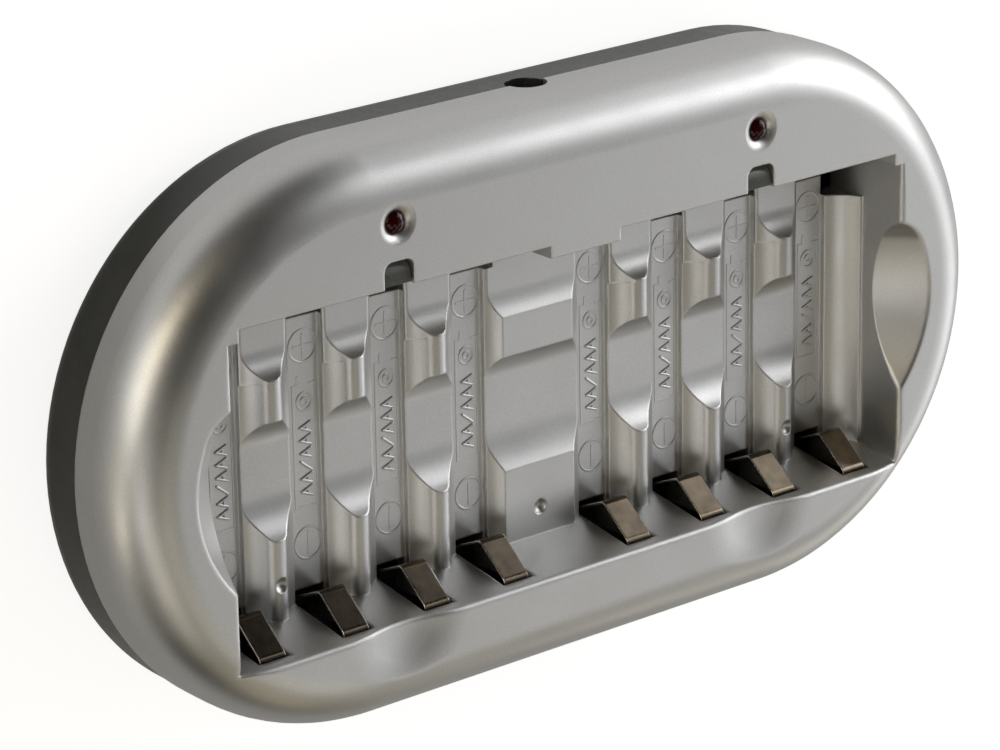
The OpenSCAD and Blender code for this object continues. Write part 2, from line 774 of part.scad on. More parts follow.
// Sprung leaf: it rises from the board, folds out into the bay and ends in the slot of the lower wall
module negative_contact(x) {
    tail_z = face_z - leaf_end_drop;
    path = [
        [leaf_root_y, board_top + 0.3],
        [leaf_root_y + 0.9, tray_z + 1.5],
        [fold_y, bay_z - fold_drop],
        [wall_y(tail_z), tail_z],
        [wall_y(tail_z) - 1.5, tail_z - 0.3]
    ];
    color("lightgray") along_x(x - leaf_w / 2, x + leaf_w / 2)
        polygon(strip_outline(bent(path, bend), leaf_t));
}

// Fixed plate: a foot on the board, then up through the tray with a bulge toward the cell
module positive_contact(x) {
    foot_mid = board_top + leaf_t / 2;
    path = [
        [plate_y - plate_w / 2, foot_mid],
        [plate_y, foot_mid],
        [plate_y, bay_z - bay_r / 2],
        [plate_y - plate_bulge, bay_z - bay_r / 10],
        [plate_y, bay_z + bay_r / 3]
    ];
    color("lightgray") along_x(x - plate_w / 2, x + plate_w / 2)
        polygon(strip_outline(bent(path, bend), leaf_t));
}

top_housing();
base_cover();
main_board();
dc_jack_body();
dc_jack_pin();
dc_jack_terminals();
light(-1);  // light_left
light(1);  // light_right
capacitor(-1);  // capacitor_1
capacitor(1);  // capacitor_2
power_coil();
controller_chip();
power_transistor(-1);  // power_transistor_1
power_transistor(1);  // power_transistor_2
chip_resistors();
housing_screws();
board_screws();
rubber_feet();
for (i = [0:7]) {
    negative_contact(bays[i]);
    positive_contact(bays[i]);
}
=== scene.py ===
"""Looks of a silver desktop charger with eight bays for round cells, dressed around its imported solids."""

import json
import logging
import math
from dataclasses import dataclass, replace
from enum import Enum

import bmesh
import bpy
from mathutils import Matrix, Vector


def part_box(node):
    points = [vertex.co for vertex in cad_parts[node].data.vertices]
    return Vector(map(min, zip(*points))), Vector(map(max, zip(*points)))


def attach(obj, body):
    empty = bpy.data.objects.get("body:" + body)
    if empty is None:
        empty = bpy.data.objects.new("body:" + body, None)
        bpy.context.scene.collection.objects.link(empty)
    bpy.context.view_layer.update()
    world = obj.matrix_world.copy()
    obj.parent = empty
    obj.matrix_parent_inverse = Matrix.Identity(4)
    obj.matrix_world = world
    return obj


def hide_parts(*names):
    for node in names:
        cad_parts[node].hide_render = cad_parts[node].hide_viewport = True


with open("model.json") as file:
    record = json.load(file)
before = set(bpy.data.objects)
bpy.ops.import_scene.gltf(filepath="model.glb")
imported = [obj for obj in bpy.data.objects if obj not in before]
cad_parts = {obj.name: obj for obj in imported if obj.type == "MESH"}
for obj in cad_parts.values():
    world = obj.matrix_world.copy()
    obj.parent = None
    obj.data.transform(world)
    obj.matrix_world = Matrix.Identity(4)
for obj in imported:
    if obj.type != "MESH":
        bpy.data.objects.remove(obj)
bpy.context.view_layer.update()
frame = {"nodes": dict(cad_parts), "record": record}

MM = 0.001
BAYS = range(1, 9)
log = logging.getLogger("charger")

Triple = tuple[float, float, float]
Span = tuple[float, float]
Colour = Triple
PALE: Colour = (1.0, 0.97, 0.92)
SOFT: Colour = (1.0, 0.95, 0.84)
WARM: Colour = (1.0, 0.92, 0.74)
AMBER: Colour = (1.0, 0.86, 0.6)
Socket = bpy.types.NodeSocket

# Parts of a noise's range that are mapped to a colour and to a number.
COLOUR_STOPS: Span = (0.35, 0.65)
NUMBER_STOPS: Span = (0.3, 0.7)
# Cosines of the turn of a rounded normal, on a flat and on an edge.
EDGE_TURNS: Span = (0.97, 0.85)
BEVEL_SAMPLES = 8


class Body(Enum):
    """The CAD bodies that new pieces ride on."""

    HOUSING = "housing"


class Slot(Enum):
    """The record's material slots."""

    SILVER = "silver_plastic"
    DARK = "dark_plastic"
    BLACK = "black_plastic"
    NICKEL = "nickel"
    STEEL = "steel"
    LENS = "red_lens"
    BOARD = "board"
    SLEEVE = "sleeve"
    COPPER = "copper"
    RUBBER = "rubber"


def map_value(tree: bpy.types.NodeTree, value: Socket, places: Span, values: Span) -> Socket:
    """Adds a node that maps a range of numbers to another.

    Args:
        tree: where the node goes.
        value: what is mapped.
        places: the two ends of the range it comes from.
        values: the number at each end.

    Returns:
        The mapped number.
    """
    node = tree.nodes.new("ShaderNodeMapRange")
    for name, number in zip(("From Min", "From Max", "To Min", "To Max"), (*places, *values)):
        node.inputs[name].default_value = number
    tree.links.new(value, node.inputs["Value"])
    return node.outputs["Result"]


def place_value(tree: bpy.types.NodeTree, coords: Socket, axis: str, places: Span, values: Span) -> Socket:
    """Adds nodes that map a place along an axis to a number.

    Args:
        tree: where the nodes go.
        coords: the place.
        axis: X, Y or Z.
        places: the low and the high end, in metres.
        values: the number at each end.

    Returns:
        The number.
    """
    split = tree.nodes.new("ShaderNodeSeparateXYZ")
    tree.links.new(coords, split.inputs["Vector"])
    return map_value(tree, split.outputs[axis], places, values)


class Graph:
    """A material's node tree with a principled shader, and short ways to add texture nodes to it."""

    def __init__(self, name: str) -> None:
        """Starts a material with an empty tree.

        Args:
            name: the material's name.
        """
        self.material = bpy.data.materials.new(name)
        self.material.use_nodes = True
        self.tree = self.material.node_tree
        self.tree.nodes.clear()
        self.shader = self.tree.nodes.new("ShaderNodeBsdfPrincipled")
        out = self.tree.nodes.new("ShaderNodeOutputMaterial")
        self.link(self.shader.outputs["BSDF"], out.inputs["Surface"])
        self.coords = self.tree.nodes.new("ShaderNodeTexCoord").outputs["Object"]

    def link(self, source: Socket, target: Socket) -> None:
        """Joins two sockets."""
        self.tree.links.new(source, target)

    def set(self, **values: float) -> None:
        """Sets the shader's own sockets, with underscores for the spaces in their names.

        Args:
            values: socket name to number.
        """
        for name, value in values.items():
            socket = self.shader.inputs[name.replace("_", " ").title().replace("Ior", "IOR")]
            socket.default_value = value

    def noise(self, scale: float, detail: float = 2.0, stretch: Triple = (1.0, 1.0, 1.0)) -> Socket:
        """Adds a noise pattern on Object coordinates.

        Args:
            scale: cells per metre.
            detail: layers of finer noise.
            stretch: how much the pattern is squeezed along each axis.

        Returns:
            The noise value.
        """
        mapping = self.tree.nodes.new("ShaderNodeMapping")
        mapping.inputs["Scale"].default_value = stretch
        self.link(self.coords, mapping.inputs["Vector"])
        node = self.tree.nodes.new("ShaderNodeTexNoise")
        node.inputs["Scale"].default_value = scale
        node.inputs["Detail"].default_value = detail
        self.link(mapping.outputs["Vector"], node.inputs["Vector"])
        return node.outputs["Fac"]

    def ramp(self, value: Socket, low: Colour, high: Colour) -> Socket:
        """Maps the middle of a noise to a colour between two.

        Args:
            value: what drives the colour.
            low: colour of low values.
            high: colour of high values.

        Returns:
            The colour.
        """
        node = self.tree.nodes.new("ShaderNodeValToRGB")
        for stop, place, colour in zip(node.color_ramp.elements, COLOUR_STOPS, (low, high)):
            stop.position = place
            stop.color = (*colour, 1.0)
        self.link(value, node.inputs["Fac"])
        return node.outputs["Color"]

    def span(self, value: Socket, low: float, high: float) -> Socket:
        """Maps the middle of a noise to a range of numbers.

        Args:
            value: what drives the number.
            low: number for low values.
            high: number for high values.

        Returns:
            The number.
        """
        return map_value(self.tree, value, NUMBER_STOPS, (low, high))

    def along(self, axis: str, places: Span, values: Span) -> Socket:
        """Maps a place along an axis to a number.

        Args:
            axis: X, Y or Z.
            places: the low and the high end, in metres.
            values: the number at each end.

        Returns:
            The number.
        """
        return place_value(self.tree, self.coords, axis, places, values)

    def product(self, first: Socket, second: Socket) -> Socket:
        """Multiplies two numbers.

        Args:
            first: one number.
            second: the other.

        Returns:
            The product.
        """
        node = self.tree.nodes.new("ShaderNodeMath")
        node.operation = "MULTIPLY"
        self.link(first, node.inputs[0])
        self.link(second, node.inputs[1])
        return node.outputs["Value"]

    def scale(self, colour: Socket, factor: Socket) -> Socket:
        """Makes a colour lighter or darker.

        Args:
            colour: what is changed.
            factor: what it is multiplied by.

        Returns:
            The new colour.
        """
        node = self.tree.nodes.new("ShaderNodeVectorMath")
        node.operation = "SCALE"
        self.link(colour, node.inputs["Vector"])
        self.link(factor, node.inputs["Scale"])
        return node.outputs["Vector"]

    def edge_share(self, rounded: Socket) -> Socket:
        """Tells how near an edge a place is, from how far its rounded normal turns.

        Args:
            rounded: the normal from soft_edges.

        Returns:
            0 on a flat and 1 on an edge.
        """
        plain = self.tree.nodes.new("ShaderNodeNewGeometry")
        turn = self.tree.nodes.new("ShaderNodeVectorMath")
        turn.operation = "DOT_PRODUCT"
        self.link(rounded, turn.inputs[0])
        self.link(plain.outputs["Normal"], turn.inputs[1])
        return map_value(self.tree, turn.outputs["Value"], EDGE_TURNS, (0.0, 1.0))

    def mix(self, share: Socket, first: Socket, second: Colour) -> Socket:
        """Blends a colour toward a plain one.

        Args:
            share: how much of the plain colour shows.
            first: the colour it starts from.
            second: the plain colour.

        Returns:
            The blend.
        """
        node = self.tree.nodes.new("ShaderNodeMix")
        node.data_type = "RGBA"
        self.link(share, node.inputs["Factor"])
        self.link(first, node.inputs["A"])
        node.inputs["B"].default_value = (*second, 1.0)
        return node.outputs["Result"]

    def soft_edges(self, radius: float, driver: Socket | None = None) -> Socket:
        """Rounds sharp edges in the shading.

        Args:
            radius: radius of the round, in metres.
            driver: what gives the radius instead, where it changes over the piece.

        Returns:
            The normal.
        """
        node = self.tree.nodes.new("ShaderNodeBevel")
        node.samples = BEVEL_SAMPLES
        node.inputs["Radius"].default_value = radius
        if driver is not None:
            self.link(driver, node.inputs["Radius"])
        return node.outputs["Normal"]

    def bump(self, height: Socket, depth: float, strength: float, normal: Socket) -> Socket:
        """Turns a value into a bumped normal.

        Args:
            height: the value.
            depth: its full height, in metres.
            strength: how much of it shows.
            normal: the normal it starts from.

        Returns:
            The normal.
        """
        node = self.tree.nodes.new("ShaderNodeBump")
        node.inputs["Distance"].default_value = depth
        node.inputs["Strength"].default_value = strength
        self.link(height, node.inputs["Height"])
        self.link(normal, node.inputs["Normal"])
        return node.outputs["Normal"]

    def drive(self, name: str, source: Socket) -> None:
        """Links a socket to one of the shader's inputs by name."""
        self.link(source, self.shader.inputs[name])


@dataclass(frozen=True)
class Paint:
    """Metallic paint: fine flakes that vary in tone, over a moulding whose edges are rounder at the face."""

    name: str
    dark: Colour
    light: Colour
    roughness: Span
    flake_scale: float = 5200.0
    gloss_scale: float = 90.0
    grain_scale: float = 2600.0
    grain_depth: float = 0.006 * MM
    grain_share: float = 0.5
    edge_radius: float = 0.4 * MM
    lip_radius: float = 1.2 * MM
    lip_depth: float = 2.0 * MM
    lip_range: Span = (18.0 * MM, 22.0 * MM)

    def make(self) -> bpy.types.Material:
        """Builds the material.

        Returns:
            The material.
        """
        g = Graph(self.name)
        g.set(metallic=1.0)
        g.drive("Base Color", g.ramp(g.noise(self.flake_scale, 1.0), self.dark, self.light))
        g.drive("Roughness", g.span(g.noise(self.gloss_scale, 3.0), *self.roughness))
        lip_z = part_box("top_housing")[1].z - self.lip_depth
        radius = g.along("Z", (lip_z - self.lip_depth, lip_z), (self.edge_radius, self.lip_radius))
        lower = g.along("Y", self.lip_range, (1.0, self.edge_radius / self.lip_radius))
        edges = g.soft_edges(self.edge_radius, g.product(radius, lower))
        g.drive("Normal", g.bump(g.noise(self.grain_scale), self.grain_depth, self.grain_share, edges))
        return g.material


@dataclass(frozen=True)
class Moulding:
    """Plain plastic with a fine grain and uneven gloss, and a painted highlight that makes its colour
    lighter where it reaches the face.
    """

    name: str
    dark: Colour
    light: Colour
    roughness: Span
    grain_scale: float = 3000.0
    grain_depth: float = 0.02 * MM
    grain_share: float = 0.6
    tone_scale: float = 220.0
    gloss_scale: float = 600.0
    edge_radius: float = 0.2 * MM
    specular: float = 0.5
    # Painted highlight: how many times lighter the colour is at the face, and the depth it fades in over.
    head_highlight: float = 1.0
    head_highlight_drop: float = 3.0 * MM

    def make(self) -> bpy.types.Material:
        """Builds the material.

        Returns:
            The material.
        """
        g = Graph(self.name)
        g.set(specular_ior_level=self.specular)
        face_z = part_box("top_housing")[1].z
        heights = (face_z - self.head_highlight_drop, face_z - self.head_highlight_drop / 2)
        colour = g.ramp(g.noise(self.tone_scale, 4.0), self.dark, self.light)
        # Painted highlight: the colour is multiplied up toward the face; a factor of 1 leaves it plain.
        g.drive("Base Color", g.scale(colour, g.along("Z", heights, (1.0, self.head_highlight))))
        g.drive("Roughness", g.span(g.noise(self.gloss_scale, 3.0), *self.roughness))
        edges = g.soft_edges(self.edge_radius)
        g.drive("Normal", g.bump(g.noise(self.grain_scale), self.grain_depth, self.grain_share, edges))
        return g.material


@dataclass(frozen=True)
class RolledStrip:
    """Plated strip metal with rolling lines along one axis, slightly tarnished, with a painted highlight
    along its edges.
    """

    name: str
    dark: Colour
    light: Colour
    roughness: Span
    stretch: Triple = (1.0, 0.06, 0.06)
    line_scale: float = 9000.0
    line_depth: float = 0.001 * MM
    line_share: float = 0.5
    tarnish_scale: float = 420.0
    edge_radius: float = 0.28 * MM
    # Pale colour of the painted highlight along the edges.
    edge_highlight: Colour = (0.92, 0.87, 0.8)

    def make(self) -> bpy.types.Material:
        """Builds the material.

        Returns:
            The material.
        """
        g = Graph(self.name)
        g.set(metallic=1.0)
        lines = g.noise(self.line_scale, 3.0, self.stretch)
        edges = g.soft_edges(self.edge_radius)
        # Colour in tarnished blotches between two tones; the nickel's low tones are also painted shade.
        tarnish_and_shade = g.ramp(g.noise(self.tarnish_scale, 4.0), self.dark, self.light)
        # Near the edges the colour is blended toward a pale one: a painted highlight.
        g.drive("Base Color", g.mix(g.edge_share(edges), tarnish_and_shade, self.edge_highlight))
        g.drive("Roughness", g.span(lines, *self.roughness))
        g.drive("Normal", g.bump(lines, self.line_depth, self.line_share, edges))
        return g.material


@dataclass(frozen=True)
class TintedLens:
    """Cast tinted resin: a dark body colour with a glossy skin."""

    name: str
    dark: Colour
    light: Colour
    roughness: float = 0.1
    specular: float = 0.22
    cloud_scale: float = 500.0

    def make(self) -> bpy.types.Material:
        """Builds the material.

        Returns:
            The material.
        """
        g = Graph(self.name)
        g.set(roughness=self.roughness, specular_ior_level=self.specular)
        g.drive("Base Color", g.ramp(g.noise(self.cloud_scale), self.dark, self.light))
        return g.material


FINISHES = {
    Slot.SILVER: Paint("silver_paint", (0.59, 0.59, 0.59), (0.66, 0.66, 0.66), (0.39, 0.45)),
    # The dark moulding is painted lighter near the face, a painted highlight on the snap arms' heads.
    Slot.DARK: Moulding(
        "dark_moulding", (0.028, 0.03, 0.028), (0.036, 0.038, 0.035), (0.2, 0.28), head_highlight=2.6),
    Slot.BLACK: Moulding(
        "black_moulding", (0.004, 0.004, 0.004), (0.007, 0.007, 0.007), (0.5, 0.6), specular=0.2),
    # The nickel's tones are set low as painted shade, as if the contacts lay shaded in the bays.
    Slot.NICKEL: RolledStrip("nickel_strip", (0.12, 0.1, 0.075), (0.17, 0.14, 0.105), (0.12, 0.2)),
    Slot.STEEL: RolledStrip("zinc_steel", (0.4, 0.4, 0.4), (0.55, 0.55, 0.54), (0.28, 0.4)),
    Slot.LENS: TintedLens("red_lens", (0.022, 0.002, 0.003), (0.034, 0.003, 0.004)),
    Slot.BOARD: Moulding("board_lacquer", (0.02, 0.1, 0.04), (0.03, 0.14, 0.06), (0.3, 0.4)),
    Slot.SLEEVE: Moulding("shrink_sleeve", (0.02, 0.025, 0.06), (0.03, 0.035, 0.08), (0.2, 0.28)),
    Slot.COPPER: RolledStrip(
        "copper_wire", (0.5, 0.22, 0.09), (0.65, 0.32, 0.14), (0.25, 0.4), stretch=(0.02, 0.02, 1.0)),
    Slot.RUBBER: Moulding(
        "rubber", (0.012, 0.012, 0.012), (0.02, 0.02, 0.02), (0.7, 0.85), 1800.0, 0.04 * MM),
}

# Edges of the marks' fine lines, which the paint's own rounds would swallow.
FINE_EDGE = 0.03 * MM
FINE_PAINT = replace(
    FINISHES[Slot.SILVER], name="fine_silver_paint", edge_radius=FINE_EDGE, lip_radius=FINE_EDGE)


class Wardrobe:
    """Makes each finish once and dresses the CAD nodes."""

    def __init__(self) -> None:
        """Builds every finish."""
        self.materials = {slot: finish.make() for slot, finish in FINISHES.items()}
        self.fine_paint = FINE_PAINT.make()

    def dress_nodes(self) -> None:
        """Dresses every CAD node as the record's sub-parts say."""
        for part in frame["record"]["subparts"]:
            node = frame["nodes"][part["node"]]
            node.data.materials.clear()
            node.data.materials.append(self.materials[Slot(part["material_slot"])])
            log.info("node %s: %s", node.name, part["material_slot"])


def add_piece(bm: bmesh.types.BMesh, name: str, material: bpy.types.Material,
              sharp: float | None = None) -> bpy.types.Object:
    """Turns a shape into a dressed piece that rides on the housing.

    Args:
        bm: the shape, which is freed.
        name: the piece's name.
        material: what the piece is dressed in.
        sharp: the angle past which edges stay sharp; without it all faces are flat.

    Returns:
        The piece.
    """
    bmesh.ops.recalc_face_normals(bm, faces=bm.faces)
    for face in bm.faces:
        face.smooth = sharp is not None
    mesh = bpy.data.meshes.new(name)
    bm.to_mesh(mesh)
    bm.free()
    if sharp is not None:
        mesh.set_sharp_from_angle(angle=sharp)
    mesh.materials.append(material)
    piece = bpy.data.objects.new(name, mesh)
    bpy.context.scene.collection.objects.link(piece)
    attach(piece, Body.HOUSING.value)
    return piece


@dataclass(frozen=True)
class Stroke:
    """Width and height of a raised line, and the share of its height that a line across it has."""

    width: float
    height: float
    crossing: float = 0.9

    def lower(self) -> "Stroke":
        """Gives a slightly lower line, for one that crosses or meets this one.

        Returns:
            The lower line.
        """
        return replace(self, height=self.crossing * self.height)


# Share of a raised line's height that its edges are rounded by.
EDGE_ROUND = 0.6


class Relief:
    """Fine raised lines on a flat floor, gathered in one mesh."""

    def __init__(self, origin: Vector) -> None:
        """Starts an empty relief.

        Args:
            origin: the place on the floor that the lines are measured from.
        """
        self.bm = bmesh.new()
        self.origin = origin

    def bar(self, start: Vector, end: Vector, stroke: Stroke) -> None:
        """Adds a straight line with rounded edges.

        Args:
            start: first end, from the origin.
            end: second end, from the origin.
            stroke: size of the line.
        """
        run = end - start
        place = Matrix.Translation(self.origin + ((start + end) / 2).to_3d())
        turn = Matrix.Rotation(math.atan2(run.y, run.x), 4, "Z")
        size = Matrix.Diagonal((run.length + stroke.width, stroke.width, 2 * stroke.height, 1.0))
        made = bmesh.ops.create_cube(self.bm, size=1.0, matrix=place @ turn @ size)
        edges = list(dict.fromkeys(edge for vert in made["verts"] for edge in vert.link_edges))
        bmesh.ops.bevel(self.bm, geom=edges, offset=EDGE_ROUND * stroke.height, offset_type="OFFSET",
                        segments=2, profile=0.5, affect="EDGES", material=-1)

    def chain(self, points: list[Vector], stroke: Stroke) -> None:
        """Adds straight lines from point to point.

        Args:
            points: the corners in order.
            stroke: size of the lines.
        """
        for place, (start, end) in enumerate(zip(points, points[1:])):
            self.bar(start, end, stroke.lower() if place % 2 else stroke)

    def ring(self, centre: Vector, radius: float, stroke: Stroke, steps: int = 40) -> None:
        """Adds a round line.

        Args:
            centre: middle of the ring, from the origin.
            radius: radius of the line's middle.
            stroke: size of the line.
            steps: pieces of the ring.
        """
        half, top = stroke.width / 2, stroke.height
        outline = [(-half, -top), (half, -top), (half, top / 2), (half / 2, top), (-half / 2, top),
                   (-half, top / 2)]
        middle = self.origin + centre.to_3d()
        verts = [self.bm.verts.new(middle + Vector((radius + across, 0.0, up))) for across, up in outline]
        edges = [self.bm.edges.new((verts[i - 1], verts[i])) for i in range(len(verts))]
        bmesh.ops.spin(self.bm, geom=verts + edges, cent=middle, axis=(0.0, 0.0, 1.0), angle=math.tau,
                       steps=steps, use_merge=True)


@dataclass
class BayMarks:
    """Raised signs on the flat strip of each bay: poles, cell sizes and the outline of a cell."""

    strip_drop: float = 15.4 * MM
    shift: float = 0.4 * MM
    line: Stroke = Stroke(0.42 * MM, 0.09 * MM)
    bold: Stroke = Stroke(0.44 * MM, 0.26 * MM)
    pole_radius: float = 2.7 * MM
    pole_arm: float = 1.8 * MM
    plus_y: float = 13.5 * MM
    minus_y: float = -19.8 * MM
    cell_side: float = 2.2 * MM
    cell_low: float = -13.6 * MM
    cell_high: float = 7.0 * MM
    tip_side: float = 1.2 * MM
    tip_rise: float = 1.4 * MM
    letter_height: float = 2.0 * MM
    letter_width: float = 1.6 * MM
    letter_pitch: float = 2.16 * MM
    letter_bar: float = 0.35
    text_start: float = -11.8 * MM
    cell_sizes: str = "AA/AAA"
    end_y: float = 4.2 * MM
    end_radii: Span = (1.45 * MM, 0.6 * MM)
    end_steps: int = 28

    def letter(self, relief: Relief, sign: str, y: float) -> None:
        """Draws one sign of the cell sizes, read along +Y with its head toward -X.

        Args:
            relief: where the lines go.
            sign: the letter or the stroke between the sizes.
            y: where the sign starts.
        """
        foot = self.letter_height / 2
        left, right = Vector((foot, y)), Vector((foot, y + self.letter_width))
        if sign == "/":
            relief.bar(left, Vector((-foot, right.y)), self.bold)
            return
        apex = Vector((-foot, y + self.letter_width / 2))
        relief.chain([left, apex, right], self.bold)
        ends = [corner.lerp(apex, self.letter_bar) for corner in (left, right)]
        relief.bar(*ends, self.bold.lower().lower())

    def poles(self, relief: Relief) -> None:
        """Draws the plus and the minus in their rings.

        Args:
            relief: where the lines go.
        """
        for y in (self.plus_y, self.minus_y):
            relief.ring(Vector((0.0, y)), self.pole_radius, self.line)
            relief.bar(Vector((0.0, y - self.pole_arm)), Vector((0.0, y + self.pole_arm)), self.line)
        ends = [Vector((side * self.pole_arm, self.plus_y)) for side in (-1, 1)]
        relief.bar(*ends, self.line.lower())

    def cell(self, relief: Relief) -> None:
        """Draws the outline of a cell with its tip, its end view and the sizes in it.

        Args:
            relief: where the lines go.
        """
        side, tip, top = self.cell_side, self.tip_side, self.cell_high + self.tip_rise
        outline = [(side, self.cell_high), (side, self.cell_low), (-side, self.cell_low),
                   (-side, self.cell_high), (-tip, self.cell_high), (-tip, top)]
        relief.chain([Vector(corner) for corner in outline], self.line)
        relief.bar(Vector((tip, self.cell_high)), Vector((side, self.cell_high)), self.line.lower())
        for radius in self.end_radii:
            relief.ring(Vector((0.0, self.end_y)), radius, self.line, self.end_steps)
        for place, sign in enumerate(self.cell_sizes):
            self.letter(relief, sign, self.text_start + place * self.letter_pitch)

    def build(self, wardrobe: Wardrobe) -> list[bpy.types.Object]:
        """Builds the signs of every bay.

        Args:
            wardrobe: gives the pieces their finish.

        Returns:
            The pieces.
        """
        floor_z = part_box("top_housing")[1].z - self.strip_drop
        pieces = []
        for bay in BAYS:
            low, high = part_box(f"negative_contact_{bay}")
            relief = Relief(Vector(((low.x + high.x) / 2 + self.shift, 0.0, floor_z)))
            self.poles(relief)
            self.cell(relief)
            pieces.append(add_piece(relief.bm, f"bay_marks_{bay}", wardrobe.fine_paint))
        return pieces


@dataclass
class RibRamps:
    """The gentle rise from the top cut to the crest of each rib, over the full rib."""

    bay_radius: float = 7.9 * MM
    axis_drop: float = 7.2 * MM
    crest_drop: float = 11.0 * MM
    crest_radius: float = 2.45 * MM
    cut_drop: float = 14.0 * MM
    foot_drop: float = 14.33 * MM
    crest_y: float = 10.8 * MM
    wall_y: float = 25.1 * MM
    end_slope: float = math.radians(65.0)
    skin: float = 0.02 * MM
    root: float = 0.1 * MM
    overlap: Span = (0.5 * MM, 1.3 * MM)
    stations: int = 36
    crowding: float = 1.5
    levels: int = 9
    sharp: float = math.radians(18.0)
    left_bays: tuple[int, ...] = (0, 1, 2, 4, 5, 6)

    def half_width(self, drop: float, pitch: float) -> float:
        """Tells how far a rib's side stands from its middle.

        Args:
            drop: depth below the face.
            pitch: distance between two bays.

        Returns:
            The half width at that depth.
        """
        crest_centre = self.crest_drop + self.crest_radius
        share = self.crest_radius / (self.crest_radius + self.bay_radius)
        meeting = crest_centre - share * (crest_centre - self.axis_drop)
        if drop < meeting:
            return math.sqrt(max(self.crest_radius**2 - (crest_centre - drop)**2, 0.0))
        return pitch / 2 - math.sqrt(self.bay_radius**2 - (drop - self.axis_drop)**2)

    def top_drop(self, run: float) -> float:
        """Gives the depth of the ramp's surface.

        Args:
            run: distance from the crest's end of the ramp.

        Returns:
            The depth below the face.
        """
        rise = self.cut_drop - self.crest_drop
        radius = rise / (1 - math.cos(self.end_slope))
        left = radius * math.sin(self.end_slope) - max(run, 0.0)
        return self.cut_drop if left <= 0 else self.cut_drop - radius + math.sqrt(radius**2 - left**2)

    def section(self, run: float, pitch: float) -> list[Vector]:
        """Lists a cross-section of the rib up to the ramp's surface.

        Args:
            run: distance from the crest's end of the ramp.
            pitch: distance between two bays.

        Returns:
            Points round the section, in the XZ plane, with heights measured from the face.
        """
        top = self.top_drop(run)
        near, far = self.overlap
        sunk = min(max((-run - near) / (far - near), 0.0), 1.0)
        skin = self.skin - sunk * (self.skin + self.root)
        rise = (top - self.foot_drop) / self.levels
        drops = [self.foot_drop + rise * step for step in range(self.levels + 1)]
        sides = [max(self.half_width(drop, pitch) + skin, self.skin / 2) for drop in drops]
        right = [Vector((side, 0.0, skin - drop)) for side, drop in zip(sides, drops)]
        return right + [Vector((-point.x, 0.0, point.z)) for point in reversed(right)]

    def loft(self, middle: float, pitch: float, face_z: float) -> bmesh.types.BMesh:
        """Joins the cross-sections of one rib into a closed shape.

        Args:
            middle: the rib's place along X.
            pitch: distance between two bays.
            face_z: height of the face.

        Returns:
            The shape.
        """
        bm = bmesh.new()
        length = self.wall_y - self.crest_y + self.overlap[1]
        rings = []
        for step in range(self.stations + 1):
            run = length * (step / self.stations) ** self.crowding - self.overlap[1]
            place = Vector((middle, self.crest_y + run, face_z))
            verts = [bm.verts.new(place + point) for point in self.section(run, pitch)]
            rings.append([bm.edges.new((verts[side - 1], verts[side])) for side in range(len(verts))])
        for first, second in zip(rings, rings[1:]):
            bmesh.ops.bridge_loops(bm, edges=first + second)
        for ring in (rings[0], rings[-1]):
            bmesh.ops.contextual_create(bm, geom=ring)
        return bm

    def build(self, wardrobe: Wardrobe) -> list[bpy.types.Object]:
        """Builds the ramp of every rib between two bays of a bank.

        Args:
            wardrobe: gives the pieces their finish.

        Returns:
            The pieces.
        """
        face_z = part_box("top_housing")[1].z
        boxes = [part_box(f"negative_contact_{bay}") for bay in BAYS]
        bays = [(low.x + high.x) / 2 for low, high in boxes]
        pitch = bays[1] - bays[0]
        silver = wardrobe.materials[Slot.SILVER]
        pieces = []
        for number, left in enumerate(self.left_bays, 1):
            bm = self.loft(bays[left] + pitch / 2, pitch, face_z)
            pieces.append(add_piece(bm, f"rib_ramp_{number}", silver, self.sharp))
        return pieces


